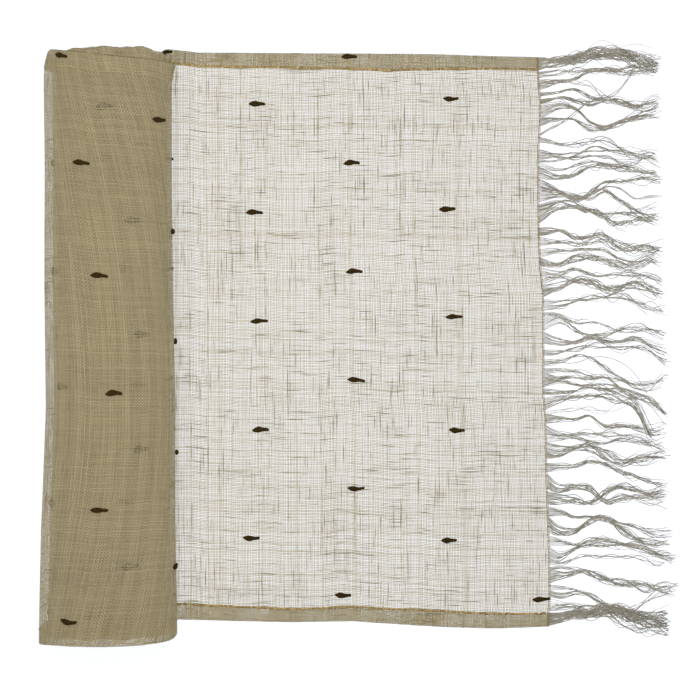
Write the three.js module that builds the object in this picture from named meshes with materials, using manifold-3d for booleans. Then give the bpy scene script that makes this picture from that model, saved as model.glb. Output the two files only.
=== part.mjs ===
// A sheer gauze table runner with ravelled ends and embroidered knots. It is rolled up from
// its far end, and its near end lies flat with the fringe spread out beside the roll.
// Millimetres, +Z up, origin in the middle of the surface that it lies on. X runs along the
// runner, from the roll to the fringe, and Y across it.
//
// Every piece is worked out on the flat cloth first. There "along" is the distance from the
// ravelled end, "across" is measured from the middle line, and "out" is the height over the
// middle of the cloth's thickness. The function laid() then carries a point of the flat cloth
// to its place in the flat end or in the roll.
import * as THREE from "three";
import { mergeVertices } from "three/addons/utils/BufferGeometryUtils.js";
import Module from "manifold-3d";

const wasm = await Module();
wasm.setup();

// Sizes of the cloth as it is cut and sewn
const CLOTH = { length: 1683, width: 356, thickness: 1.0 };
const HEM = { width: 9.4, thickness: 1.35, step: 0.6 };
const GAP = 0.3;

// The strip at the ravelled end that holds the row of stitches and the fringe
const STRIP = { width: 2.7, seamFrom: 0.8, seamTo: 1.8, seamRise: 0.25 };

// The tables below measure x and y from one point of the surface, and the middle of the whole
// runner's box, which is the origin, lies this far from that point
const BOX_MIDDLE = { x: 5.3, y: 3.79 };

// The roll's section. Pitch is how far each side moves inwards in one turn
const ROLL = { x: -148, width: 79, height: 60, squareness: 2.15, sag: 1.0, steps: 36, innerSteps: 18 };
const PITCH = { left: 2.5, right: 2.5, top: 2.3, bottom: 1.7 };
const LOOSE = { left: 2.8, right: 0.5 };
const QUARTER = { left: 0.25, top: 0.5, right: 0.75 };

// How far the roll's sides stand out beyond an even width, at places across the cloth
const ROLL_SIDES = [
  { across: -178, left: 3.2, right: 2.8 },
  { across: -168, left: 3.1, right: 2.6 },
  { across: -112, left: 1.9, right: 1.4 },
  { across: -38, left: -1.2, right: 1.6 },
  { across: 38, left: -0.3, right: 0 },
  { across: 112, left: -0.5, right: -0.9 },
  { across: 168, left: 0.2, right: -1.0 },
  { across: 178, left: -2.4, right: 1.8 },
];

// The back and front edges of the flat end, by the distance from the ravelled end. The back
// corner draws in where it goes under the roll
const FLAT_EDGES = [
  { along: 0, back: 182.2, front: -173.3 },
  { along: 35, back: 183.0, front: -174.5 },
  { along: 66, back: 184.1, front: -173.6 },
  { along: 122, back: 184.5, front: -169.9 },
  { along: 160, back: 184.7, front: -170.5 },
  { along: 215, back: 185.0, front: -169.3 },
  { along: 235.5, back: 187.4, front: -168.6 },
  { along: 238.5, back: 186.2, front: -168.8 },
  { along: 241, back: 183.4, front: -169.0 },
  { along: 244, back: 180.6, front: -169.2 },
  { along: 249, back: 178.6, front: -169.8 },
  { along: 270, back: 178.2, front: -171.0 },
];

// The same edges on the roll, by the number of turns
const ROLL_EDGES = [
  { turn: 0, back: 178.2, front: -171.0 },
  { turn: 0.12, back: 179.5, front: -175.0 },
  { turn: 0.25, back: 181.4, front: -180.4 },
  { turn: 0.31, back: 182.4, front: -180.0 },
  { turn: 0.36, back: 181.2, front: -179.4 },
  { turn: 0.5, back: 177.1, front: -179.3 },
  { turn: 0.58, back: 175.2, front: -178.8 },
  { turn: 0.68, back: 174.0, front: -177.2 },
  { turn: 0.75, back: 174.2, front: -174.9 },
  { turn: 1.0, back: 177.6, front: -176.4 },
  { turn: 1.25, back: 180.5, front: -176.6 },
  { turn: 1.5, back: 181.8, front: -175.0 },
  { turn: 1.62, back: 182.4, front: -174.6 },
  { turn: 1.75, back: 175.4, front: -173.8 },
  { turn: 2.0, back: 178.0, front: -175.0 },
  { turn: 2.5, back: 182.2, front: -175.4 },
  { turn: 2.62, back: 182.6, front: -174.8 },
  { turn: 2.75, back: 176.4, front: -174.0 },
  { turn: 3.5, back: 182.6, front: -174.6 },
  { turn: 3.75, back: 178.2, front: -174.0 },
  { turn: 4.5, back: 182.4, front: -175.2 },
  { turn: 4.75, back: 180.0, front: -174.6 },
  { turn: 5.5, back: 182.8, front: -174.8 },
  { turn: 7.0, back: 182.0, front: -174.6 },
  { turn: 10.0, back: 180.8, front: -175.2 },
];

// Where the ravelled end lies, from front to back
const END_LINE = [
  { across: -178, x: 124.3 },
  { across: -168, x: 125.2 },
  { across: -112, x: 124.4 },
  { across: -38, x: 122.0 },
  { across: 38, x: 120.6 },
  { across: 112, x: 118.1 },
  { across: 168, x: 118.3 },
  { across: 178, x: 117.5 },
];
const END_X = 121.8;

// The middle of the cloth runs ahead of its edges round the roll
const LEAD = { most: 17, fall: 27, middle: -25, fullAt: 0.5 };

// Embroidered knots in staggered columns, with the columns numbered from the ravelled end
const KNOT = { length: 10.6, width: 3.7, height: 1.8, sides: 6, underside: 0.5 };
const KNOT_COLUMN = { first: -3, pitch: 61, count: 8, onRollFrom: 5, clearOfRoll: 32.7 };
// The rows of a column, from back to front, with how far each is nudged along the cloth. "Near"
// is how far a knot next to the ravelled end sits towards the back, and it dies away from
// NEAR.until to NEAR.from. The last two names give a row's place and nudge on the roll.
const NEAR = { until: 58, from: 180 };
const KNOT_ROWS = {
  even: [
    { across: 176, nudge: 1.1, near: 0, rollAcross: 174.8, rollNudge: 3.5 },
    { across: 109.4, nudge: 0, near: 0, rollAcross: 111.8, rollNudge: 1.8 },
    { across: 41.4, nudge: -0.6, near: 0, rollAcross: 45, rollNudge: 2.4 },
    { across: -26.6, nudge: -1.1, near: 0, rollAcross: -25.4, rollNudge: 6.7 },
    { across: -94.6, nudge: 0.2, near: 0, rollAcross: -95.8, rollNudge: 2.6 },
    { across: -162.6, nudge: 9, near: 1.9, rollAcross: -163.2, rollNudge: -4.2 },
  ],
  odd: [
    { across: 146.1, nudge: -1, near: 4.4, rollAcross: 142.2, rollNudge: -1 },
    { across: 78.1, nudge: 0.7, near: 3.8, rollAcross: 73.8, rollNudge: 0.7 },
    { across: 10.1, nudge: -1.6, near: 5, rollAcross: 5, rollNudge: -1.6 },
    { across: -57.9, nudge: -2, near: 2.5, rollAcross: -64.2, rollNudge: -2 },
    { across: -125.9, nudge: 4.3, near: 1.9, rollAcross: -134.2, rollNudge: 0.3 },
  ],
};
// A knot's outline from its tail to its blunt end
const KNOT_OUTLINE = [
  { place: 0, size: 0 },
  { place: 0.1, size: 0.26 },
  { place: 0.34, size: 0.6 },
  { place: 0.58, size: 0.94 },
  { place: 0.8, size: 1.0 },
  { place: 0.95, size: 0.66 },
  { place: 1, size: 0 },
];

// The fringe's locks. Stations are distances from the middle of the ravelled end
const LOCK = { width: 1.05, tipWidth: 0.6, height: 1.0, tipHeight: 0.6, apart: 0.45, corners: 3 };
const LOCK_ROOT = -1.6;
const LOCK_STATIONS = [14, 27, 41, 55];
const BUNDLE_AT = { root: 0, near: 19, mid: 37.5, far: 56 };
// Each row is a bundle of locks that cling together. "from" is its root's distance from the
// back corner and "spread" half the root's width. Near, mid, far and tip say how far it has
// swung towards the back by then, and "reach" is its length.
const BUNDLES = [
  { from: 4, spread: 4, near: 3, mid: 6, far: 2, tip: 0, reach: 70, locks: 6 },
  { from: 11, spread: 2, near: 2.5, mid: 3.5, far: 3.5, tip: 3.5, reach: 70, locks: 2 },
  { from: 17, spread: 3, near: 4.5, mid: 7.5, far: 10, tip: 9, reach: 69, locks: 2 },
  { from: 20, spread: 0, near: 3.5, mid: -7, far: -12, tip: -7.5, reach: 71, locks: 1 },
  { from: 23.5, spread: 1.5, near: 1, mid: -4.5, far: -7.5, tip: -7.5, reach: 71, locks: 2 },
  { from: 28, spread: 1.5, near: 1.5, mid: 0, far: -2.5, tip: 2, reach: 72, locks: 2 },
  { from: 34.5, spread: 4, near: 3, mid: -10.5, far: -3, tip: 0.5, reach: 71, locks: 3 },
  { from: 40.5, spread: 2.5, near: 1.5, mid: -4.5, far: 3, tip: 5, reach: 67, locks: 2 },
  { from: 52, spread: 2, near: -1.5, mid: -2, far: -8, tip: -8, reach: 69, locks: 2 },
  { from: 60, spread: 2.5, near: 0, mid: 1, far: 0, tip: -4.5, reach: 71, locks: 2 },
  { from: 64.5, spread: 2, near: 0.5, mid: 1.5, far: -1.5, tip: 0.5, reach: 69, locks: 2 },
  { from: 68.5, spread: 0, near: 0, mid: 2, far: -1, tip: -4, reach: 70, locks: 1 },
  { from: 72.5, spread: 3.5, near: -1.5, mid: 4, far: 2.5, tip: -0.5, reach: 70, locks: 3 },
  { from: 80, spread: 3.5, near: -9, mid: 0.5, far: 3.5, tip: 3, reach: 72, locks: 3 },
  { from: 87, spread: 3.5, near: -2, mid: 4, far: -9.5, tip: -12, reach: 69, locks: 3 },
  { from: 94.5, spread: 3, near: 2.5, mid: -3.5, far: -3.5, tip: -3.5, reach: 70, locks: 3 },
  { from: 100.5, spread: 3, near: 7, mid: 0, far: -1.5, tip: -3.5, reach: 67, locks: 2 },
  { from: 109, spread: 2.5, near: -3, mid: -4, far: -11.5, tip: -9.5, reach: 72, locks: 3 },
  { from: 115, spread: 3, near: -0.5, mid: -0.5, far: -5, tip: -5.5, reach: 72, locks: 2 },
  { from: 122.5, spread: 3, near: 2, mid: 1, far: -5.5, tip: -5.5, reach: 70, locks: 2 },
  { from: 128, spread: 2.5, near: 2, mid: 0.5, far: 0.5, tip: 3.5, reach: 69, locks: 3 },
  { from: 135, spread: 3.5, near: 1.5, mid: -1.5, far: -0.5, tip: -6, reach: 72, locks: 2 },
  { from: 140.5, spread: 0, near: 1, mid: -4, far: -2, tip: -4.5, reach: 72, locks: 1 },
  { from: 146, spread: 3.5, near: 6.5, mid: 2, far: 3.5, tip: -1.5, reach: 72, locks: 3 },
  { from: 155, spread: 3.5, near: 2.5, mid: 5, far: 2, tip: -1.5, reach: 75, locks: 3 },
  { from: 162.5, spread: 0, near: -4, mid: -5.5, far: -8, tip: -9.5, reach: 76, locks: 1 },
  { from: 167.5, spread: 3, near: -3, mid: -5, far: -3, tip: -6, reach: 74, locks: 2 },
  { from: 175.5, spread: 3.5, near: -3, mid: -1, far: -1, tip: -8, reach: 75, locks: 3 },
  { from: 185, spread: 2, near: 3, mid: 4.5, far: 2.5, tip: -5, reach: 76, locks: 2 },
  { from: 191, spread: 2.5, near: 4.5, mid: -4, far: -15, tip: -8.5, reach: 75, locks: 2 },
  { from: 196, spread: 1.5, near: -0.5, mid: -2.5, far: -10, tip: -7, reach: 74, locks: 2 },
  { from: 199.5, spread: 0, near: -2, mid: -1.5, far: -13, tip: -22, reach: 74, locks: 1 },
  { from: 203.5, spread: 2.5, near: -1, mid: -2.5, far: -8, tip: -19.5, reach: 76, locks: 2 },
  { from: 209, spread: 2, near: 0, mid: 2, far: -6, tip: -27, reach: 67, locks: 2 },
  { from: 216.5, spread: 3.5, near: 4, mid: 5, far: -3, tip: -20, reach: 66, locks: 3 },
  { from: 223, spread: 0, near: 2, mid: 1, far: 3.5, tip: 2, reach: 58, locks: 1 },
  { from: 226.5, spread: 2.5, near: -1, mid: -4, far: -6, tip: -6, reach: 74, locks: 3 },
  { from: 233, spread: 2.5, near: -3.5, mid: -3, far: -5, tip: -13.5, reach: 75, locks: 2 },
  { from: 238, spread: 2, near: 1, mid: -4.5, far: -2, tip: -1.5, reach: 74, locks: 2 },
  { from: 243.5, spread: 3, near: -1, mid: -2.5, far: -8.5, tip: -5.5, reach: 72, locks: 3 },
  { from: 249.5, spread: 1.5, near: 3.5, mid: -1, far: -4, tip: -2, reach: 75, locks: 2 },
  { from: 256.5, spread: 3, near: 1, mid: 3, far: -6, tip: -9.5, reach: 75, locks: 2 },
  { from: 265.5, spread: 4, near: -3, mid: -12, far: -10, tip: -10, reach: 74, locks: 3 },
  { from: 276, spread: 4, near: -1.5, mid: 4.5, far: 5, tip: 3.5, reach: 75, locks: 3 },
  { from: 284, spread: 3, near: -3.5, mid: -3, far: -10, tip: -13, reach: 78, locks: 3 },
  { from: 292.5, spread: 4.5, near: -3, mid: 3, far: -8, tip: -9.5, reach: 78, locks: 4 },
  { from: 302.5, spread: 3.5, near: -2, mid: 0.5, far: -3, tip: -9, reach: 79, locks: 2 },
  { from: 310, spread: 3.5, near: 3, mid: 6, far: 5, tip: -3.5, reach: 80, locks: 3 },
  { from: 315.5, spread: 0, near: 1.5, mid: 4.5, far: 2.5, tip: -0.5, reach: 75, locks: 1 },
  { from: 324, spread: 5, near: 2, mid: -1, far: -6.5, tip: -7, reach: 80, locks: 4 },
  { from: 331.5, spread: 1.5, near: -1, mid: -9.5, far: -15.5, tip: -16, reach: 77, locks: 2 },
  { from: 335.5, spread: 1.5, near: 0.5, mid: -6, far: -12, tip: -13.5, reach: 77, locks: 2 },
  { from: 342, spread: 3, near: -0.5, mid: -2, far: 0.5, tip: -2, reach: 75, locks: 3 },
  { from: 351.5, spread: 4, near: 3, mid: 5, far: 1, tip: -4.5, reach: 77, locks: 6 },
];

const material = (name, color, roughness) =>
  new THREE.MeshStandardMaterial({ name, color, roughness, metalness: 0 });
const GAUZE = material("flax gauze", 0xa69c7c, 0.95);
const YARN = material("ravelled flax yarn", 0x9a978a, 0.9);
const FLOSS = material("dark brown floss", 0x46371b, 0.7);

// Reads a column of a table, on a straight line between the rows on either side
function read(table, key, at, column) {
  const last = table.length - 1;
  if (at <= table[0][key]) return table[0][column];
  if (at >= table[last][key]) return table[last][column];
  const next = table.findIndex((row) => row[key] > at);
  const [a, b] = [table[next - 1], table[next]];
  const share = (at - a[key]) / (b[key] - a[key]);
  return a[column] + share * (b[column] - a[column]);
}

const endX = (across) => read(END_LINE, "across", across, "x");
const flatLength = END_X - ROLL.x;

// The middle line of the roll's section after a number of turns. The runner comes from the
// right along the surface, then goes up the left side, over the top and down the right side.
function rollPoint(turn, across) {
  const angle = 2 * Math.PI * turn;
  const power = 2 / ROLL.squareness;
  const swing = Math.sign(Math.sin(angle)) * Math.abs(Math.sin(angle)) ** power;
  const drop = Math.sign(Math.cos(angle)) * Math.abs(Math.cos(angle)) ** power;
  const looser = (side) => LOOSE[side] * Math.min(1, Math.max(0, turn - QUARTER[side]));
  const left = PITCH.left * (turn - QUARTER.left) + looser("left");
  const right = PITCH.right * (turn - QUARTER.right) + looser("right");
  const top = PITCH.top * (turn - QUARTER.top);
  const bottom = PITCH.bottom * turn;
  const fading = Math.max(0, 1 - turn / 10);
  const sides = {
    left: ROLL.width / 2 - left + fading * read(ROLL_SIDES, "across", across, "left"),
    right: ROLL.width / 2 - right + fading * read(ROLL_SIDES, "across", across, "right"),
  };
  const middleZ = (ROLL.height - CLOTH.thickness + ROLL.sag) / 2;
  const x = ROLL.x - swing * (swing > 0 ? sides.left : sides.right);
  const z = middleZ - drop * (middleZ - (drop > 0 ? bottom : top));
  const settled = bottom + Math.max(0, z - bottom - ROLL.sag);
  return { x, z: CLOTH.thickness / 2 + settled };
}

// The length of cloth that has gone into the roll, at each small step of a turn
const FINE_STEPS = 180;
const wound = [0];
while (wound[wound.length - 1] < CLOTH.length - flatLength) {
  const step = wound.length;
  const from = rollPoint((step - 1) / FINE_STEPS, 0);
  const to = rollPoint(step / FINE_STEPS, 0);
  wound.push(wound[step - 1] + Math.hypot(to.x - from.x, to.z - from.z));
}

function turnAt(along) {
  const length = along - flatLength;
  const next = Math.max(1, wound.findIndex((reached) => reached >= length));
  const share = (length - wound[next - 1]) / (wound[next] - wound[next - 1]);
  return (next - 1 + share) / FINE_STEPS;
}

function alongAt(turn) {
  const step = Math.floor(turn * FINE_STEPS);
  const share = turn * FINE_STEPS - step;
  return flatLength + wound[step] + share * (wound[step + 1] - wound[step]);
}

// The middle of the cloth's thickness over one point of the flat cloth
function middle(along, across) {
  const inRoll = along > flatLength;
  const turn = inRoll ? turnAt(along) : 0;
  const [table, key, at] = inRoll ? [ROLL_EDGES, "turn", turn] : [FLAT_EDGES, "along", along];
  const back = read(table, key, at, "back");
  const front = read(table, key, at, "front");
  const y = front + (back - front) * (across / CLOTH.width + 0.5);
  if (inRoll) {
    const { x, z } = rollPoint(turn, across);
    return { x, y, z };
  }
  const x = endX(across) + (ROLL.x - endX(across)) * (along / flatLength);
  return { x, y, z: CLOTH.thickness / 2 };
}

// A point of the flat cloth in its place. "Out" is towards the upper face of the flat end,
// which becomes the inner face of each turn.
function laid(along, across, out) {
  const here = middle(along, across);
  const reach = 0.4;
  const before = middle(along - reach, across);
  const after = middle(Math.min(along + reach, CLOTH.length), across);
  const dx = after.x - before.x;
  const dz = after.z - before.z;
  const size = Math.hypot(dx, dz);
  return [
    here.x + (out * dz) / size - BOX_MIDDLE.x,
    here.y - BOX_MIDDLE.y,
    here.z - (out * dx) / size,
  ];
}

// Moves every corner of a geometry by a rule and joins the corners that meet
function reshape(geometry, rule) {
  geometry.deleteAttribute("normal");
  geometry.deleteAttribute("uv");
  const corners = geometry.getAttribute("position");
  for (let i = 0; i < corners.count; i += 1) {
    corners.setXYZ(i, ...rule(corners.getX(i), corners.getY(i), corners.getZ(i)));
  }
  return mergeVertices(geometry, 1e-4);
}

// A box of unit size whose cuts are moved to the stations given
function fromBox(alongs, acrosses, place) {
  const box = new THREE.BoxGeometry(1, 1, 1, alongs.length - 1, acrosses.length - 1, 1);
  const pick = (list, share) => list[Math.round((share + 0.5) * (list.length - 1))];
  return reshape(box, (x, y, z) => place(pick(alongs, -x), pick(acrosses, y), Math.sign(z)));
}

// The cloth's two faces. A hem stands out on the upper side only
function faceOut(across, side) {
  const inHem = Math.abs(across) > CLOTH.width / 2 - HEM.width;
  const rise = inHem && side > 0 ? HEM.thickness - CLOTH.thickness : 0;
  return (side * CLOTH.thickness) / 2 + rise;
}

// The places across the cloth where its solid bends: the edges, the hems' steps and between
const hemStep = CLOTH.width / 2 - HEM.width;
const HALF_ACROSSES = [CLOTH.width / 2, hemStep + 0.01, hemStep - HEM.step, 112, 38];
const ACROSSES = [...HALF_ACROSSES.map((across) => -across), ...HALF_ACROSSES.toReversed()];

// The cloth, in one piece, from the seam at the ravelled end to the end inside the roll
function clothGeometry() {
  const from = STRIP.width + GAP;
  const bends = FLAT_EDGES.map(({ along }) => along);
  const alongs = [from, ...bends.filter((along) => along > from && along < flatLength), flatLength];
  const lastTurn = turnAt(CLOTH.length);
  let turn = 1 / ROLL.steps;
  while (turn < lastTurn - 0.5 / ROLL.innerSteps) {
    alongs.push(alongAt(turn));
    turn += 1 / (turn < 1 - 1e-6 ? ROLL.steps : ROLL.innerSteps);
  }
  alongs.push(CLOTH.length);
  return fromBox(alongs, ACROSSES, (along, across, side) =>
    laid(along, across, faceOut(across, side)));
}

// Spreads sorted places so that each stays a given distance below the one before it, and all
// move as little as they can
function keepApart(places, distances) {
  const shift = [0];
  distances.forEach((distance, i) => shift.push(shift[i] + distance));
  const groups = [];
  places.forEach((place, i) => {
    groups.push({ sum: place + shift[i], count: 1 });
    while (groups.length > 1) {
      const [a, b] = groups.slice(-2);
      if (a.sum / a.count >= b.sum / b.count) break;
      groups.splice(-2, 2, { sum: a.sum + b.sum, count: a.count + b.count });
    }
  });
  return groups
    .flatMap(({ sum, count }) => Array(count).fill(sum / count))
    .map((place, i) => place - shift[i]);
}

// All locks of the fringe, from back to front, each with its places at the stations
function fringeLocks() {
  const locks = BUNDLES.flatMap((bundle) =>
    Array.from({ length: bundle.locks }, (_, i) => {
      const side = bundle.locks > 1 ? 1 - (2 * i) / (bundle.locks - 1) : 0;
      const across = CLOTH.width / 2 - bundle.from + side * bundle.spread;
      const fan = (share) => side * bundle.spread * share;
      const uneven = Math.sin(7.3 * across);
      return { bundle, across, fan, reach: bundle.reach - 2 - 2 * uneven };
    }));
  const stations = [LOCK_ROOT, ...LOCK_STATIONS, 82];
  const rootY = ({ across }) => laid(0, across, 0)[1];
  const middleY = ({ bundle }) => laid(0, CLOTH.width / 2 - bundle.from, 0)[1];
  const curves = locks.map((lock) => {
    const { near, mid, far, tip, reach } = lock.bundle;
    const rootSpread = lock.fan(1);
    const points = [
      [BUNDLE_AT.root, rootSpread],
      [BUNDLE_AT.near, near + lock.fan(0.45)],
      [BUNDLE_AT.mid, mid + lock.fan(0.35)],
      [BUNDLE_AT.far, far + lock.fan(0.4)],
      [reach, tip + lock.fan(0.6)],
    ];
    return new THREE.SplineCurve(points.map(([x, y]) => new THREE.Vector2(x, y)));
  });
  const swingAt = (curve, reach) => {
    const fine = curve.getPoints(40);
    const next = fine.findIndex((p) => p.x >= reach);
    if (next === 0) return fine[0].y;
    if (next < 0) return fine[fine.length - 1].y;
    const [a, b] = [fine[next - 1], fine[next]];
    return a.y + ((b.y - a.y) * (reach - a.x)) / (b.x - a.x);
  };
  const distances = Array(locks.length - 1).fill(LOCK.width + LOCK.apart);
  stations.forEach((station, column) => {
    const wanted = locks.map((lock, i) =>
      column === 0 ? rootY(lock) : middleY(lock) + swingAt(curves[i], station));
    keepApart(wanted, distances).forEach((y, i) => {
      locks[i].path = [...(locks[i].path ?? []), { station, y }];
    });
  });
  return locks;
}

// A lock lies level on the surface, with three sides, and gets thinner towards its tip
function lockGeometry({ path, across, reach }) {
  const rootX = laid(0, across, 0)[0];
  const common = END_X - BOX_MIDDLE.x;
  const inner = path.slice(1).filter(({ station }) => station < reach - 4);
  const rings = [
    { x: rootX + LOCK_ROOT, y: path[0].y },
    { x: rootX + 1.2, y: path[0].y },
    ...inner.map(({ station, y }) => ({ x: common + station, y })),
    { x: common + reach, y: read(path, "station", reach, "y") },
  ];
  const rod = new THREE.CylinderGeometry(1, 1, 1, LOCK.corners, rings.length - 1);
  return reshape(rod, (x, y, z) => {
    const share = 0.5 - y;
    const { x: ringX, y: ringY } = rings[Math.round(share * (rings.length - 1))];
    const width = LOCK.width + (LOCK.tipWidth - LOCK.width) * share;
    const height = LOCK.height + (LOCK.tipHeight - LOCK.height) * share;
    const centre = Math.hypot(x, z) < 0.5;
    const top = z > 0.5;
    const sideways = centre || top ? 0 : (Math.sign(x) * width) / 2;
    return [ringX, ringY + sideways, centre ? height / 3 : top ? height : 0];
  });
}

function toManifold(geometry) {
  return new wasm.Manifold(new wasm.Mesh({
    numProp: 3,
    vertProperties: new Float32Array(geometry.getAttribute("position").array),
    triVerts: new Uint32Array(geometry.getIndex().array),
  }));
}

function fromManifold(solid) {
  const { vertProperties, triVerts } = solid.getMesh();
  const geometry = new THREE.BufferGeometry();
  geometry.setAttribute("position", new THREE.BufferAttribute(vertProperties, 3));
  geometry.setIndex(new THREE.BufferAttribute(triVerts, 1));
  return geometry;
}

// The seamed strip with all the locks fused into it
function fringeGeometry() {
  const alongs = [0, STRIP.seamFrom, STRIP.seamTo, STRIP.width];
  const strip = fromBox(alongs, ACROSSES, (along, across, side) => {
    const seam = along > 0 && along < STRIP.width && side > 0 ? STRIP.seamRise : 0;
    return laid(along, across, side * CLOTH.thickness / 2 + seam);
  });
  const locks = fringeLocks().map((lock) => toManifold(lockGeometry(lock)));
  return fromManifold(locks.reduce((whole, lock) => whole.add(lock), toManifold(strip)));
}

// One knot of floss, which follows the bend of the cloth under it
function knotGeometry(along, across, onRoll) {
  const profile = KNOT_OUTLINE.map(({ place, size }) => new THREE.Vector2(size, place));
  const onHem = Math.abs(across) + KNOT.width / 2 > CLOTH.width / 2 - HEM.width && !onRoll;
  const onSeam = along < STRIP.width + KNOT.length / 2;
  const hemRise = onHem ? HEM.thickness - CLOTH.thickness : 0;
  const seat = CLOTH.thickness / 2 + Math.max(hemRise, onSeam ? STRIP.seamRise : 0) + GAP;
  return reshape(new THREE.LatheGeometry(profile, KNOT.sides), (x, place, z) => {
    const height = (Math.max(z, -KNOT.underside) + KNOT.underside) / (1 + KNOT.underside);
    const out = seat + height * KNOT.height;
    const s = along + (place - 0.5) * KNOT.length * (onRoll ? -1 : 1);
    return laid(s, across + (x * KNOT.width) / 2, onRoll ? -out : out);
  });
}

// How far ahead of the cloth's even winding a point of the roll lies
function lead(turn, across) {
  const away = (across - LEAD.middle) / (CLOTH.width / 2);
  return (LEAD.most - LEAD.fall * away * away) * Math.min(1, turn / LEAD.fullAt);
}

// Where a knot's middle lies on the flat cloth
function knotPlace(row, at, onRoll) {
  if (onRoll) {
    const even = at + row.rollNudge;
    return { along: even + lead(turnAt(even), row.rollAcross), across: row.rollAcross };
  }
  const nearness = Math.min(1, Math.max(0, (NEAR.from - at) / (NEAR.from - NEAR.until)));
  const along = Math.min(at + row.nudge, flatLength - KNOT_COLUMN.clearOfRoll);
  return { along, across: row.across + row.near * nearness };
}

function knots() {
  const all = [];
  for (let column = 0; column < KNOT_COLUMN.count; column += 1) {
    const onRoll = column >= KNOT_COLUMN.onRollFrom;
    const rows = column % 2 ? KNOT_ROWS.odd : KNOT_ROWS.even;
    const at = KNOT_COLUMN.first + KNOT_COLUMN.pitch * column;
    rows.forEach((row, number) => {
      const { along, across } = knotPlace(row, at, onRoll);
      if (along > KNOT.length / 2) {
        const geometry = knotGeometry(along, across, onRoll);
        all.push({ name: `knot_${column}_${number}`, geometry });
      }
    });
  }
  return all;
}

const runner = new THREE.Group();
function add(name, geometry, finish) {
  const mesh = new THREE.Mesh(geometry, finish);
  mesh.name = name;
  runner.add(mesh);
}

add("runner_cloth", clothGeometry(), GAUZE);
add("fringe", fringeGeometry(), YARN);
knots().forEach(({ name, geometry }) => add(name, geometry, FLOSS));

export default runner;
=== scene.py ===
"""A sheer gauze table runner, rolled up from its far end, with its near end and fringe lying flat.

Every piece is worked out on the flat cloth and then carried to its place. On the flat cloth
"along" is the distance from the ravelled end, "across" is measured from the middle line, and
"out" is the height over the cloth, towards the upper face of the flat end. Those sizes, and the
tables, are in millimetres, and become metres when a mesh is made.
"""
import math
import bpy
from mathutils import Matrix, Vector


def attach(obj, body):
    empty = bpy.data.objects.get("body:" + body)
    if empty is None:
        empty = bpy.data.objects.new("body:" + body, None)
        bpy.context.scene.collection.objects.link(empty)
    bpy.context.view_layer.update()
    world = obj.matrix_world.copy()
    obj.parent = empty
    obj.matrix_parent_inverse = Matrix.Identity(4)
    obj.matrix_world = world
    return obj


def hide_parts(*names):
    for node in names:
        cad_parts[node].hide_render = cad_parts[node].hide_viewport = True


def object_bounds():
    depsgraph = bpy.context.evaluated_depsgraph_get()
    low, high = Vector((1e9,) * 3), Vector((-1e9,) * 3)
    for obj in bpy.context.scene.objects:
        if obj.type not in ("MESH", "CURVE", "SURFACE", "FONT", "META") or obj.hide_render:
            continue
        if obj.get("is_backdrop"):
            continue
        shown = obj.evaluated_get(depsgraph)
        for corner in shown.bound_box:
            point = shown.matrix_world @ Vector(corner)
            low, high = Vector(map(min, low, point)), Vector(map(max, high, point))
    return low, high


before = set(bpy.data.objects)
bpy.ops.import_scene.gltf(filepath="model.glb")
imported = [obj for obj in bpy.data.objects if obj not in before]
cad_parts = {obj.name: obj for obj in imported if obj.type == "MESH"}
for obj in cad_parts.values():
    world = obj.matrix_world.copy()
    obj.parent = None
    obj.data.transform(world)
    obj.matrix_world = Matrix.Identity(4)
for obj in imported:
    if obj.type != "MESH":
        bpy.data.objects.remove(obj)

from types import SimpleNamespace

import bpy
import numpy as np
from bpy.props import FloatProperty, FloatVectorProperty, IntProperty, PointerProperty

bl_info = {
    "name": "Rolled gauze table runner",
    "version": (1, 0, 0),
    "blender": (4, 5, 0),
    "location": "3D View > Sidebar > Runner",
    "description": "Makes the gauze, knots, stitches and fringe of a rolled table runner",
    "category": "Object",
}

CAD_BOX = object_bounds()
MM = 0.001
BODY = "root"
WEAVE_UV = "weave"


# Tables of the layout

def table(names, *rows):
    """A table with named columns, kept as one array for each column."""
    return dict(zip(names.split(), np.array(rows, float).T))


def read(rows, key, at, column):
    """A column of a table at given places, on straight lines between its rows."""
    return np.interp(at, rows[key], rows[column])


# The layout's tables start from one point of the surface, and the box's middle lies here from it
BOX_MIDDLE = SimpleNamespace(x=5.3, y=3.79)
# The middle of the ravelled end
END_X = 121.8
END_Y = 4.4

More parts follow.
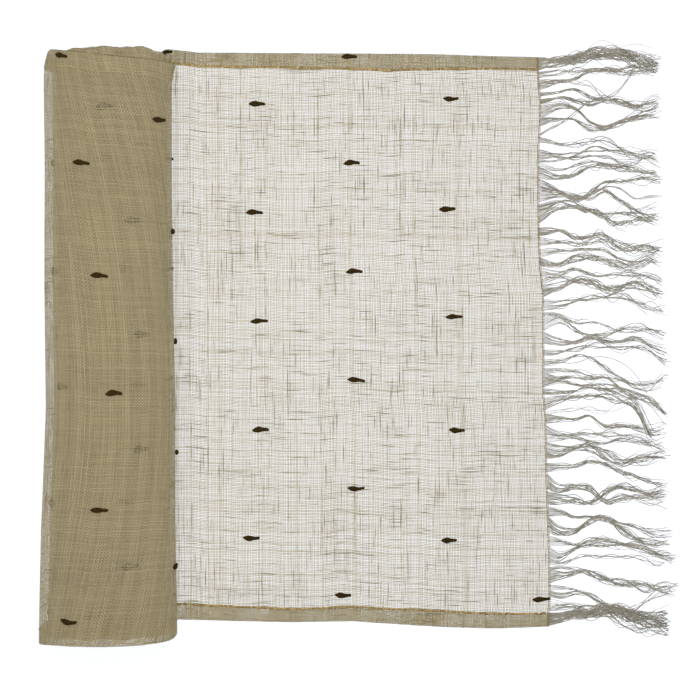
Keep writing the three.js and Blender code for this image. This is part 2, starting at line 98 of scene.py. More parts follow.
ROLL_SIDES = table(
    "across left right",
    (-178, 3.2, 2.8),
    (-168, 3.1, 2.6),
    (-112, 1.9, 1.4),
    (-38, -1.2, 1.6),
    (38, -0.3, 0),
    (112, -0.5, -0.9),
    (166, 0.2, -1.0),
    (173, -0.8, 0.4),
    (178, -2.4, 1.8),
)
FLAT_EDGES = table(
    "along back front",
    (0, 182.2, -173.3),
    (35, 183.0, -174.5),
    (66, 184.1, -173.6),
    (122, 184.5, -169.9),
    (160, 184.7, -170.5),
    (215, 185.0, -169.3),
    (235.5, 187.4, -168.6),
    (238.5, 186.2, -168.8),
    (241, 183.4, -169.0),
    (244, 180.6, -169.2),
    (249, 178.6, -169.8),
    (270, 178.2, -171.0),
)
ROLL_EDGES = table(
    "turn back front",
    (0, 178.2, -171.0),
    (0.12, 179.5, -175.0),
    (0.25, 181.4, -180.4),
    (0.31, 182.4, -180.0),
    (0.36, 181.2, -179.4),
    (0.5, 177.1, -179.3),
    (0.58, 175.2, -178.8),
    (0.68, 174.0, -177.2),
    (0.75, 174.2, -174.9),
    (1.0, 177.6, -176.4),
    (1.25, 180.5, -176.6),
    (1.5, 181.8, -175.0),
    (1.62, 182.4, -174.6),
    (1.75, 175.4, -173.8),
    (2.0, 178.0, -175.0),
    (2.5, 182.2, -175.4),
    (2.62, 182.6, -174.8),
    (2.75, 176.4, -174.0),
    (3.5, 182.6, -174.6),
    (3.75, 178.2, -174.0),
    (4.5, 182.4, -175.2),
    (4.75, 180.0, -174.6),
    (5.5, 182.8, -174.8),
    (7.0, 182.0, -174.6),
    (10.0, 180.8, -175.2),
)
END_LINE = table(
    "across x",
    (-178, 124.3),
    (-158, 125.6),
    (-131, 125.0),
    (-96, 123.9),
    (-75, 123.2),
    (-47, 122.8),
    (-33, 121.5),
    (4, 121.4),
    (29, 121.3),
    (44, 119.8),
    (60, 118.8),
    (88, 118.4),
    (116, 118.1),
    (135, 119.4),
    (151, 119.6),
    (169, 118.1),
    (178, 117.5),
)
# The end's unevenness dies away along the flat cloth, and leaves this straight line
END_CHORD = table("across x", (-178, 125.2), (178, 118.2))
HEM_WIDTHS = table(
    "along back front",
    (0, 8.3, 9.1),
    (24, 8.2, 9.4),
    (66, 10.0, 10.6),
    (94, 11.0, 10.0),
    (122, 10.2, 9.6),
    (160, 9.6, 8.8),
    (215, 9.2, 10.2),
    (240, 9.1, 10.6),
    (300, 9.4, 9.4),
)
# A hem's width as it was cut
# A hem's section from its raw edge to the cloth: the share of its width from the fold, and how
# many layers up
HEM_FOLD = table(
    "share layer",
    (0.06, 1),
    (0.3, 1),
    (0.62, 1),
    (0.94, 1),
    (1, 1.5),
    (0.94, 2),
    (0.62, 2),
    (0.3, 2),
    (0.06, 2),
    (0, 1),
    (0.06, 0),
    (0.3, 0),
    (0.62, 0),
    (1, 0),
)
# Soft creases in the roll's outer turn, from one place to another
CREASES = table(
    "from_turn from_across to_turn to_across width depth",
    (0.50, 168, 0.66, 108, 2.6, 0.7),
    (0.56, 170, 0.70, 120, 2.2, 0.6),
    (0.44, 160, 0.54, 96, 3.0, 0.45),
    (0.62, 172, 0.74, 150, 2.4, 0.6),
    (0.34, 150, 0.40, 40, 3.4, 0.4),
    (0.64, 60, 0.68, -70, 3.4, 0.5),
    (0.60, -30, 0.70, -120, 3.0, 0.45),
    (0.36, -10, 0.44, -120, 3.4, 0.4),
    (0.48, -100, 0.62, -165, 2.8, 0.55),
    (0.54, -120, 0.72, -170, 2.6, 0.5),
)
# Places of the knots in each column. "near" is how much further back a knot near the ravelled
# end sits, and the last two names give the row's place and nudge on the roll
KNOT_ROWS = {
    "even": table(
        "across nudge near roll_across roll_nudge",
        (176, 1.1, 0, 174.8, 3.5),
        (109.4, 0, 0, 111.8, 1.8),
        (41.4, -0.6, 0, 45.0, 2.4),
        (-26.6, -1.1, 0, -25.4, 6.7),
        (-94.6, 0.2, 0, -95.8, 2.6),
        (-162.6, 9, 1.9, -163.2, -4.2),
    ),
    "odd": table(
        "across nudge near roll_across roll_nudge",
        (146.1, -1, 4.4, 142.2, -1),
        (78.1, 0.7, 3.8, 73.8, 0.7),
        (10.1, -1.6, 5.0, 5.0, -1.6),
        (-57.9, -2, 2.5, -64.2, -2),
        (-125.9, 4.3, 1.9, -134.2, 0.3),
    ),
}
# "near" holds in full up to the first place along, and has died away at the second
NEAR = SimpleNamespace(full=58, gone=180)
# Columns before the first number are on the flat end, and from the second on inside the roll
FLAT_COLUMNS = 5
INNER_COLUMN = 9
# A knot's width from its tail to its round end
KNOT_OUTLINE = table(
    "place size",
    (0, 0.26),
    (0.04, 0.46),
    (0.12, 0.54),
    (0.28, 0.58),
    (0.4, 0.7),
    (0.52, 0.9),
    (0.64, 1),
    (0.76, 0.88),
    (0.87, 0.6),
    (0.95, 0.34),
    (1, 0.1),
)
# The middle of the cloth runs ahead of its edges round the roll
LEAD = SimpleNamespace(most=17, fall=27, middle=-25, full_at=0.5)
QUARTER = SimpleNamespace(left=0.25, top=0.5, right=0.75)
# The roll's section lies between an ellipse, which is 2, and a box
SQUARENESS = 2.15
# How uneven the gauze's threads are, in shares of their pitch, and the scales of its noises
WEAVE = SimpleNamespace(
    drift=2.0, drift_run=9, drift_step=70, shift=0.42, thinnest=0.6, spread=0.8, edge=0.04,
    slub_run=48, slub_step=7.31, slub_from=0.52, slub_to=0.74, group_scale=34, group_share=0.15,
)

# The photograph's scale and middle, and the column where the fringe's roots lie
PHOTO = SimpleNamespace(mm=0.6246, column=350, row=349, root=540)
# The fringe's bundles. "top" and "bottom" bound the root, and the columns after them say how
# far down the bundle's middle lies at evenly spaced places from the cloth to the tips
BUNDLE_COLUMNS = (560, 575, 590, 605, 620, 635, 650)
BUNDLES = table(
    "top bottom y560 y575 y590 y605 y620 y635 y650 tip_x tip_y threads",
    (57, 70, 61.8, 58.6, 53.6, 53.5, 55.8, 60, 63, 657, 63, 40),
    (71.5, 78, 72.6, 70.7, 68.7, 69.5, 71.5, 69.5, 69.4, 657, 69.5, 6),
    (79.5, 90, 82.3, 77.5, 70, 72, 72.9, 69, 69.5, 655, 70, 9),
    (82, 86, 81.6, 81.6, 85, 98, 103, 106, 100, 659, 99, 2),
    (92, 96.5, 92.4, 90.6, 95.3, 101.5, 103, 106, 109, 659, 106, 5),
    (99, 104, 99.4, 99.2, 102, 101.5, 103, 105.3, 100.2, 660, 98, 8),
    (105, 119, 105, 107.3, 123, 129, 123, 117, 112, 659, 111, 10),
    (118, 126, 118.7, 119.5, 129.3, 128.9, 123.3, 117, 113.5, 652, 114, 8),
    (133, 136, 122.5, 111.5, 105, 98, 87.3, 71.5, 64, 637, 69.6, 3),
    (137, 143, 142.7, 142.6, 142.4, 143.6, 148.9, 153, 153.5, 655, 153, 5),
    (149, 157, 156.2, 153.5, 150, 151, 151.3, 153.5, 156, 659, 160, 7),
    (157, 163, 159.2, 159.3, 153.2, 157.8, 163.7, 162.5, 158.3, 655, 159, 6),
    (163, 170, 169.2, 166.3, 163, 163, 164.3, 168.3, 171, 657, 173, 4),
    (167, 179, 176.6, 175.7, 169.5, 166.4, 167.3, 169.3, 172.3, 657, 174, 9),
    (179, 191, 192.7, 199, 193, 184, 180.2, 179.2, 180.2, 661, 180, 9),
    (190, 202, 195.8, 199, 197.5, 189.8, 201, 211, 214.2, 656, 215, 8),
    (186, 190, 193, 199, 194, 185, 189.5, 199.8, 194.5, 656, 193, 3),
    (204, 213, 202.2, 204.5, 209, 214.5, 215.6, 214.4, 214.8, 658, 214, 9),
    (213, 223, 207.2, 207.2, 212.2, 218.4, 223, 220.5, 222.3, 653, 223.5, 8),
    (227.5, 236, 231.4, 236.5, 234.8, 238, 246.5, 250, 247.5, 661, 247, 9),
    (237, 246, 243.2, 242, 243.2, 242, 247, 249.8, 248.5, 660, 250, 6),
    (249, 258, 250.6, 250.3, 250, 251.5, 258.8, 262, 259, 657, 262, 5),
    (258, 266.6, 264.3, 259, 256.4, 261.2, 264, 261.4, 258.5, 655, 257, 9),
    (262, 266.6, 264.3, 259, 258, 262.9, 268.2, 266.4, 260.5, 655, 258, 4),
    (267.5, 278.5, 274.2, 270.5, 273, 275.4, 276.2, 274.1, 277, 661, 283, 7),
    (279, 285, 278, 280, 284, 288, 287, 285.5, 287, 661, 289, 4),
    (285, 297, 285.7, 280.7, 283, 288, 287, 285.3, 289, 661, 293, 10),
    (299, 311, 303.8, 301, 298, 296.7, 295.6, 302, 307.5, 664.5, 307.6, 8),
    (311.8, 316, 314.5, 319, 322, 322, 322, 322, 322, 586, 321, 2),
    (314, 320, 314.6, 323, 324.3, 326, 330, 330, 331, 666, 332, 4),
    (319, 331, 320.7, 330, 333.5, 333.2, 331.5, 329.4, 331, 664, 335, 6),
    (332, 344, 342, 343, 339, 339.8, 339.8, 340, 346.5, 664.5, 351, 10),
    (349.7, 356, 352.8, 348, 346, 345.8, 347.2, 349, 352.4, 667, 361, 6),
    (359, 367, 360.4, 355.6, 357.7, 369.5, 378.5, 386.7, 385.8, 664.5, 376.6, 5),
    (360, 364, 362, 362, 356.8, 358.8, 363.3, 375.3, 396, 650.6, 398, 1),
    (368, 374, 371, 372, 375, 375.3, 379, 387, 386, 664, 382, 5),
    (373, 379, 377.8, 379, 377.5, 378.5, 389, 397, 402, 664, 411, 5),
    (378, 387, 381.3, 384, 386.3, 386.8, 389, 395.5, 401.8, 667, 414, 8),
    (388.5, 395, 392, 391.5, 389.5, 388.9, 392.7, 401.5, 432, 652.5, 438.5, 7),
    (398, 410, 400, 397.5, 394.5, 395.7, 401.2, 408.5, 433, 650, 436, 9),
    (411.6, 417, 410, 411, 408, 412, 409, 408.4, 408.4, 630, 408.6, 2),
    (414, 424, 419, 420.5, 415.5, 425, 424.8, 428.5, 431, 663.6, 429, 9),
    (425.5, 434, 435, 435.3, 433.5, 434.3, 434.5, 437.5, 446, 664.5, 451, 7),
    (433, 442, 438, 436, 441, 445, 440, 441, 442, 663, 440, 5),
    (442, 452, 449, 448.3, 446, 451, 460.2, 460.5, 458, 660, 456, 8),
    (452, 459, 455.7, 450, 449, 457, 463.5, 461.8, 459.6, 666, 459, 7),
    (463.4, 472.7, 467, 466, 459.8, 463, 473, 478, 482, 664.5, 483, 8),
    (474.5, 489.5, 489.5, 486.6, 488, 501, 498.6, 497.7, 498.2, 663, 498, 12),
    (492, 505, 500.3, 501, 503.5, 491, 485, 490.3, 496, 664.5, 492.6, 12),
    (506.7, 517, 513, 517.7, 515.6, 517, 524, 527.6, 532, 670, 532.6, 9),
    (517, 533, 532.4, 529.7, 521, 520.4, 528, 538, 543.6, 666, 543, 12),
    (536, 547, 541.7, 544.5, 540, 541, 543.9, 546, 551.5, 672, 556, 7),
    (547, 560, 557, 549, 545.8, 543.5, 544, 545.8, 551.8, 672.8, 559, 9),
    (560, 565, 563.5, 559.8, 555.7, 555.2, 556.4, 558.4, 561.5, 664.5, 563, 4),
    (567.7, 583.5, 572.4, 572.5, 574, 577, 582.2, 586, 589, 674.7, 587, 13),
    (585, 591, 588.5, 589.5, 596, 603.5, 609, 613, 617, 668, 614, 4),
    (591, 598, 595.8, 594, 597.8, 603.8, 609, 613.5, 617, 668, 616, 6),
    (599, 612, 605, 606, 608.8, 609, 609.3, 604.7, 597, 666, 592, 5),
    (605, 612, 607, 607, 608.8, 609, 609.3, 612, 615, 668, 613, 4),
    (613, 626, 618.3, 614.4, 611.7, 611, 611.7, 617.7, 622, 668, 627, 36),
    (614, 624, 617, 615, 612, 613, 622, 628, 630.6, 662.7, 632, 6),
)


# Sizes and colours that a user would change

def length(name, description, default):
    """A length in metres for a property group."""
    return FloatProperty(
        name=name, description=description, default=default, min=0, unit="LENGTH", precision=4
    )


def portion(name, description, default):
    """A share from 0 to 1 for a property group."""
    return FloatProperty(name=name, description=description, default=default, min=0, max=1)


def colour(name, description, default):
    """A colour for a property group."""
    return FloatVectorProperty(
        name=name, description=description, default=default, size=3, min=0, max=1, subtype="COLOR"
    )


class RunnerClothSizes(bpy.types.PropertyGroup):
    """The cloth as it is cut and sewn, and how it is rolled."""

    cut_length: length("Length", "Length of the woven cloth", 1.683)
    width: length("Width", "Width between the hemmed edges", 0.356)
    thickness: length("Thickness", "Thickness of the gauze", 0.0002)
    hem_lift: length("Hem layers", "Height of one layer of the folded hem", 0.00033)
    lie: length("Lie", "Height of the cloth's middle over the surface", 0.0005)
    roll_x: FloatProperty(
        name="Roll", description="Where the roll touches", default=-0.148, unit="LENGTH"
    )
    roll_width: length("Roll width", "Width of the roll at its middle", 0.079)
    roll_height: length("Roll height", "Height of the roll", 0.060)
    sag: length("Sag", "How far the roll has settled on its flat spot", 0.001)
    pitch_left: length("Left pitch", "Space of a turn on the left", 0.0025)
    pitch_right: length("Right pitch", "Space of a turn on the right", 0.0025)
    pitch_top: length("Top pitch", "Space of a turn at the top", 0.0023)
    pitch_bottom: length("Bottom pitch", "Space of a turn at the bottom", 0.0017)
    loose_left: length("Loose left", "Extra space inside the outer turn on the left", 0.0028)
    loose_right: length("Loose right", "Extra space inside the outer turn on the right", 0.0005)


class RunnerKnotSizes(bpy.types.PropertyGroup):
    """The embroidered knots and the machine stitches."""

    knot_length: length("Knot length", "Length of a knot with its tail", 0.0106)
    knot_width: length("Knot width", "Width of a knot", 0.0036)
    knot_height: length("Knot height", "How far a knot stands out", 0.0019)
    first: FloatProperty(
        name="First column", description="Place of the first column", default=-0.003, unit="LENGTH"
    )
    column_pitch: length("Column pitch", "Distance between columns of knots", 0.061)
    clear_of_roll: length("Clear", "Room from the last flat column to the roll", 0.0327)
    slip: length("Slip", "How far the inner turns' knots have slipped", 0.071)
    stitch_length: length("Stitch", "Length of a machine stitch", 0.0024)
    stitch_width: length("Stitch thread", "Thickness of the sewing thread", 0.0015)
    wraps: IntProperty(name="Wraps", description="Stitches over one knot", default=9, min=3)


class RunnerFringeSizes(bpy.types.PropertyGroup):
    """The threads of the fringe."""

    thread_radius: length("Thread radius", "Radius of a ravelled thread", 0.00025)
    step: length("Step", "Length of a piece of thread between two bends", 0.0023)
    loose: length("Looseness", "How far a thread strays inside its bundle", 0.0014)
    fullness: FloatProperty(name="Fullness", description="More or fewer threads", default=1.35)
    crimp: length("Crimp", "How far the weave has bent a thread", 0.00022)
    seed: IntProperty(name="Seed", description="Starts the fringe's random draws", default=11)


class RunnerFinish(bpy.types.PropertyGroup):
    """Colours of the yarns and sizes of the weave."""

    flax: colour("Flax", "Colour of the gauze's threads", (0.385, 0.33, 0.2))
    slub: colour("Slub", "Colour of the thick places in the threads", (0.14, 0.12, 0.07))
    fringe: colour("Fringe", "Colour of the ravelled threads", (0.5, 0.475, 0.4))
    floss: colour("Floss", "Colour of the knots", (0.042, 0.024, 0.004))
    sewing: colour("Sewing thread", "Colour of the machine stitches", (0.52, 0.37, 0.15))
    pitch: length("Thread pitch", "Distance between the gauze's threads", 0.0009)
    fill: portion("Fill", "Share of the pitch that a thread fills", 0.27)
    fuzz: portion("Fuzz", "Share of the light that fine fibres stop in the gaps", 0.08)
    slub_fill: portion("Slub fill", "Share of the pitch that a thick place adds", 0.17)
    body: portion("Body", "Share of the light that an even thread stops", 0.7)
    # Painted light: the gauze's own glow, standing in for the light that it passes on to its lower
    # turns
    painted_glow: portion("Passed on", "Light that the gauze passes on to its lower turns", 0.2)
    # Painted light and shade: at each crossing the thread that lies on top is painted lighter or
    # darker
    painted_weave_shade: portion("Weave depth", "Light and shade of the thread that lies on top", 0.32)


class RunnerStageSizes(bpy.types.PropertyGroup):
    """The camera, the floor and the light."""

    camera_height: length("Camera height", "Height of the camera over the surface", 1.6)
    view_width: length("View width", "Width of the surface that the camera sees", 0.4372)
    floor_glow: FloatProperty(name="Floor glow", description="Light of the floor", default=0.92)
    sky_glow: FloatProperty(name="Sky glow", description="Light from all round", default=0.33)
    key_power: FloatProperty(name="Key light", description="Power of the soft light", default=2.15)


GROUPS = {
    "runner_cloth": RunnerClothSizes,
    "runner_knots": RunnerKnotSizes,
    "runner_fringe": RunnerFringeSizes,
    "runner_finish": RunnerFinish,
    "runner_stage": RunnerStageSizes,
}


def in_mm(group):
    """The lengths of a property group in millimetres, and its other values as they are."""
    values = {}
    for prop in group.bl_rna.properties:
        if prop.identifier in ("rna_type", "name"):
            continue
        value = getattr(group, prop.identifier)
        values[prop.identifier] = value / MM if getattr(prop, "unit", "") == "LENGTH" else value
    return SimpleNamespace(**values)


# How the cloth lies

class Lay:
    """Carries points of the flat cloth to their places in the flat end and in the roll."""

    fine_steps = 720
    reach = 0.4

    def __init__(self):
        self.size = in_mm(bpy.context.scene.runner_cloth)
        self.flat_length = END_X - self.size.roll_x
        turns = np.arange(0, 12 * self.fine_steps) / self.fine_steps
        x, z = self.roll_point(turns, 0)
        steps = np.hypot(np.diff(x), np.diff(z))
        self.turns = turns
        self.wound = np.concatenate([[0], np.cumsum(steps)])

    def turn_at(self, along):
        """The number of turns at a distance along the cloth."""
        return np.interp(along - self.flat_length, self.wound, self.turns)

    def along_at(self, turn):
        """The distance along the cloth at a number of turns."""
        return self.flat_length + np.interp(turn, self.turns, self.wound)

    def roll_point(self, turn, across):
        """The roll's section: from the right along the surface, up the left side and over."""
        size = self.size
        angle = 2 * math.pi * turn
        power = 2 / SQUARENESS
        swing = np.sign(np.sin(angle)) * np.abs(np.sin(angle)) ** power
        drop = np.sign(np.cos(angle)) * np.abs(np.cos(angle)) ** power
        left = size.pitch_left * (turn - QUARTER.left)
        left += size.loose_left * np.clip(turn - QUARTER.left, 0, 1)
        right = size.pitch_right * (turn - QUARTER.right)
        right += size.loose_right * np.clip(turn - QUARTER.right, 0, 1)
        top = size.pitch_top * (turn - QUARTER.top)
        bottom = size.pitch_bottom * turn
        fading = np.maximum(0, 1 - turn / 10)
        half = size.roll_width / 2
        left = half - left + fading * read(ROLL_SIDES, "across", across, "left")
        right = half - right + fading * read(ROLL_SIDES, "across", across, "right")
        middle = (size.roll_height - 2 * size.lie + size.sag) / 2
        x = size.roll_x - swing * np.where(swing > 0, left, right)
        z = middle - drop * (middle - np.where(drop > 0, bottom, top))
        return x, size.lie + bottom + np.maximum(0, z - bottom - size.sag)

    def middle(self, along, across):
        """The middle of the cloth's thickness over points of the flat cloth."""
        in_roll = along > self.flat_length
        turn = self.turn_at(along)
        back = read(FLAT_EDGES, "along", along, "back")
        front = read(FLAT_EDGES, "along", along, "front")
        back = np.where(in_roll, read(ROLL_EDGES, "turn", turn, "back"), back)
        front = np.where(in_roll, read(ROLL_EDGES, "turn", turn, "front"), front)
        edge = np.clip(np.abs(across) / (self.size.width / 2), 0, 1) ** 6
        inner = np.clip(turn - 0.6, 0, 1)
        # The hems of the inner turns wave a little
        scallop = edge * inner * 0.8 * np.sin(along / 3.1 + 0.6 * np.sin(along / 11))
        y = front + (back - front) * (across / self.size.width + 0.5) + scallop
        roll_x, roll_z = self.roll_point(turn, across)
        end_x = read(END_LINE, "across", across, "x")
        share = along / self.flat_length
        ease = 1 - (1 - np.clip(share, 0, 1)) ** 1.6
        chord_x = read(END_CHORD, "across", across, "x")
        flat_x = chord_x + (self.size.roll_x - chord_x) * share + (end_x - chord_x) * (1 - ease)
        x = np.where(in_roll, roll_x, flat_x)
        z = np.where(in_roll, roll_z, self.size.lie)
        return x, y, z

    def laid(self, along, across, out):
        """Points of the flat cloth in their places, as rows of x, y, z."""
        along, across, out = np.broadcast_arrays(along, across, np.asarray(out, float))
        x, y, z = self.middle(along, across)
        before = self.middle(along - self.reach, across)
        after = self.middle(np.minimum(along + self.reach, self.size.cut_length), across)
        dx = after[0] - before[0]
        dz = after[2] - before[2]
        size = np.hypot(dx, dz)
        out = out + self.crease(along, across)
        return np.stack(
            [x + out * dz / size - BOX_MIDDLE.x, y - BOX_MIDDLE.y, z - out * dx / size], axis=-1
        )

    def crease(self, along, across):
        """How far the outer turn dips in along its creases."""
        dip = np.zeros(np.broadcast(along, across).shape)
        for row in zip(*CREASES.values()):
            from_turn, from_across, to_turn, to_across, width, depth = row
            start = np.array([self.along_at(from_turn), from_across])
            run = np.array([self.along_at(to_turn), to_across]) - start
            u, v = along - start[0], across - start[1]
            share = np.clip((u * run[0] + v * run[1]) / (run @ run), 0, 1)
            away = np.hypot(u - share * run[0], v - share * run[1])
            fade = np.sin(math.pi * np.clip(share, 0.04, 0.96)) ** 0.5
            dip = dip + depth * fade * np.exp(-((away / width) ** 2))
        return dip

    def lead(self, turn, across):
        """How far the cloth's middle runs ahead of its edges round the roll."""
        away = (across - LEAD.middle) / (self.size.width / 2)
        return (LEAD.most - LEAD.fall * away * away) * np.clip(turn / LEAD.full_at, 0, 1)


# Shaders

class Value:
    """A socket whose sums and products become Math nodes."""

    def __init__(self, shader, source):
        self.shader = shader
        self.source = source

    def __add__(self, other):
        return self.shader.math("ADD", self, other)

    def __sub__(self, other):
        return self.shader.math("SUBTRACT", self, other)

    def __rsub__(self, other):
        return self.shader.math("SUBTRACT", other, self)

    def __mul__(self, other):
        return self.shader.math("MULTIPLY", self, other)

    __radd__ = __add__
    __rmul__ = __mul__


class Shader:
    """One material's node tree."""

    def __init__(self, name, roughness, sheen=0.0):
        self.material = bpy.data.materials.new(name)
        self.material.use_nodes = True
        self.tree = self.material.node_tree
        self.surface = self.tree.nodes["Principled BSDF"]
        self.surface.inputs["Roughness"].default_value = roughness
        self.surface.inputs["Specular IOR Level"].default_value = 0.1
        self.surface.inputs["Sheen Weight"].default_value = sheen

    def node(self, kind, settings=None, inputs=None, output=0):
        """Adds a node, with its settings first and then the values or links of its sockets."""
        made = self.tree.nodes.new(kind)
        for key, value in (settings or {}).items():
            setattr(made, key, value)
        for key, value in (inputs or {}).items():
            self.feed(made.inputs[key], value)
        return Value(self, made.outputs[output])

    def feed(self, socket, value):
        """Links a value to a socket, or sets a plain number or colour there."""
        if isinstance(value, Value):
            self.tree.links.new(value.source, socket)
        else:
            socket.default_value = value

    def math(self, operation, *values):
        """A Math node."""
        return self.node("ShaderNodeMath", {"operation": operation}, dict(enumerate(values)))

    def weave_place(self):
        """The places along and across in the piece's own UV map."""
        uv = self.node("ShaderNodeUVMap", {"uv_map": WEAVE_UV})
        along = self.node("ShaderNodeSeparateXYZ", None, {0: uv})
        return along, Value(self, along.source.node.outputs[1])

    def noise(self, x, y, seed, detail=0.0):
        """Noise from 0 to 1. Its scale is in x and y, so it may be stretched along a thread."""
        place = self.node("ShaderNodeCombineXYZ", None, {0: x, 1: y, 2: seed})
        inputs = {"Vector": place, "Scale": 1.0, "Detail": detail}
        return self.node("ShaderNodeTexNoise", {"noise_dimensions": "3D"}, inputs)

    def white(self, count):
        """A number from 0 to 1 drawn for each whole number."""
        return self.node("ShaderNodeTexWhiteNoise", {"noise_dimensions": "1D"}, {"W": count})

    def ramp(self, value, low, high):
        """Goes smoothly from 0 to 1 as a value goes from low to high."""
        inputs = {"Value": value, "From Min": low, "From Max": high}
        return self.node("ShaderNodeMapRange", {"interpolation_type": "SMOOTHSTEP"}, inputs)

    def mix(self, share, first, second):
        """Mixes two colours."""
        return self.node(
            "ShaderNodeMix", {"data_type": "RGBA"}, {0: share, 6: first, 7: second}, output=2
        )

    def finish(self, **inputs):
        """Feeds the surface's sockets and gives the material."""
        for key, value in inputs.items():
            self.feed(self.surface.inputs[key.replace("_", " ")], value)
        return self.material


def rgba(base, gain=1.0):
    """A colour with full alpha, made lighter or darker."""
    return (*[min(1.0, part * gain) for part in base], 1.0)


def gauze_material():
    """Open flax gauze: two sets of uneven threads, with clear gaps between them."""
    finish = bpy.context.scene.runner_finish
    shader = Shader("flax_gauze", roughness=0.95)
    along, across = shader.weave_place()
    group = shader.noise(along * WEAVE.group_scale, across * WEAVE.group_scale, 9.0, detail=1.0)

    def threads(run, step, phase):
        """The threads that run one way: their place, cover, thick places and lightness."""
        drift = shader.noise(run * WEAVE.drift_run, step * WEAVE.drift_step, phase)
        place = step * (1 / finish.pitch) + drift * WEAVE.drift
        count = shader.math("FLOOR", place)
        draw = shader.white(count + phase)
        shift = (shader.white(count + phase + 0.37) - 0.5) * WEAVE.shift
        away = shader.math("ABSOLUTE", place - count - shift - 0.5)
        swell = shader.noise(run * WEAVE.slub_run, count * WEAVE.slub_step, phase, detail=2.0)
        grouped = swell + (group - 0.5) * WEAVE.group_share
        slub = shader.ramp(grouped, WEAVE.slub_from, WEAVE.slub_to)
        half = (draw * WEAVE.spread + WEAVE.thinnest) * (finish.fill / 2) + slub * finish.slub_fill
        inside = shader.ramp(half - away, -WEAVE.edge, WEAVE.edge)
        cover = inside * (finish.body + (1 - finish.body) * slub)
        return place, cover, slub, draw * 0.3 + swell

    warp_place, warp, warp_slub, warp_draw = threads(along, across, 3.0)
    weft_place, weft, weft_slub, weft_draw = threads(across, along, 17.0)
    cover = 1 - (1 - warp) * (1 - weft) * (1 - finish.fuzz)
    # Painted light and shade: where the warp lies on top a crossing is painted lighter, and where
    # the weft lies on top darker; the rest of the lightness is the threads' own tone, drawn at
    # random
    over = shader.math("SINE", warp_place * math.pi) * shader.math("SINE", weft_place * math.pi)
    draw = warp * warp_draw + (1 - warp) * weft_draw
    lightness = draw * 0.9 + over * finish.painted_weave_shade - 0.08
    slub = shader.math("MAXIMUM", warp_slub * warp, weft_slub * weft)
    thread = shader.mix(lightness, rgba(finish.flax, 0.6), rgba(finish.flax, 1.5))
    tint = shader.mix(slub * 0.75, thread, rgba(finish.slub))
    # Painted light: the gauze glows a little in its own colour, standing in for the light that real
    # flax lets through to the turns below
    shader.surface.inputs["Emission Strength"].default_value = finish.painted_glow
    return shader.finish(Base_Color=tint, Alpha=cover, Emission_Color=tint)


def thread_material(name, base, streaks, roughness, sheen=0.0):
    """A spun or twisted thread, with streaks that follow its run."""
    shader = Shader(name, roughness, sheen)
    along, across = shader.weave_place()
    streak = shader.noise(along * streaks, across * 900, 0.0, detail=2.0)
    tint = shader.mix(shader.ramp(streak, 0.35, 0.68), rgba(base, 0.62), rgba(base, 1.45))
    return shader.finish(Base_Color=tint)


# Meshes

def make_piece(name, points, faces, uvs, material, slot):
    """A piece at the origin, from points in millimetres, faces and a UV place for each point."""
    mesh = bpy.data.meshes.new(name)
    mesh.from_pydata((points * MM).tolist(), [], faces)
    layer = mesh.uv_layers.new(name=WEAVE_UV)
    corner = np.empty(len(mesh.loops), dtype=np.int32)
    mesh.loops.foreach_get("vertex_index", corner)
    layer.data.foreach_set("uv", (uvs[corner] * MM).astype(np.float32).ravel())
    mesh.shade_smooth()
    mesh.materials.append(material)
    piece = bpy.data.objects.new(name, mesh)
    bpy.context.scene.collection.objects.link(piece)
    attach(piece, BODY)
    return piece


def select_alone(piece):
    """Selects one piece and makes it active."""
    bpy.ops.object.select_all(action="DESELECT")
    bpy.context.view_layer.objects.active = piece
    piece.select_set(True)


def point_outwards(piece):
    """Turns every face of a closed piece outwards."""
    select_alone(piece)
    bpy.ops.object.mode_set(mode="EDIT")
    bpy.ops.mesh.select_all(action="SELECT")
    bpy.ops.mesh.normals_make_consistent(inside=False)
    bpy.ops.object.mode_set(mode="OBJECT")


def apply_modifier(piece, kind, **settings):
    """Adds a modifier with its settings and applies it."""
    select_alone(piece)
    modifier = piece.modifiers.new(kind.title(), kind)
    for key, value in settings.items():
        setattr(modifier, key, value)
    bpy.ops.object.modifier_apply(modifier=modifier.name)


def grid_faces(rows, columns):
    """Quads of a grid whose points are numbered row by row."""
    r, c = np.meshgrid(np.arange(rows - 1), np.arange(columns - 1), indexing="ij")
    first = (r * columns + c).ravel()
    return np.stack([first, first + 1, first + columns + 1, first + columns], axis=1)


def ring_faces(first_point, rings, sides):
    """Faces of a closed tube, with a cap at both ends, whose points are numbered ring by ring."""
    r, c = np.meshgrid(np.arange(rings - 1), np.arange(sides), indexing="ij")
    first = first_point + r * sides + c
    after = first_point + r * sides + (c + 1) % sides
    quads = np.stack([first, first + sides, after + sides, after], axis=-1).reshape(-1, 4)
    start = [first_point + c for c in range(sides)]
    end = [first_point + (rings - 1) * sides + c for c in reversed(range(sides))]
    return [*quads.tolist(), start, end]


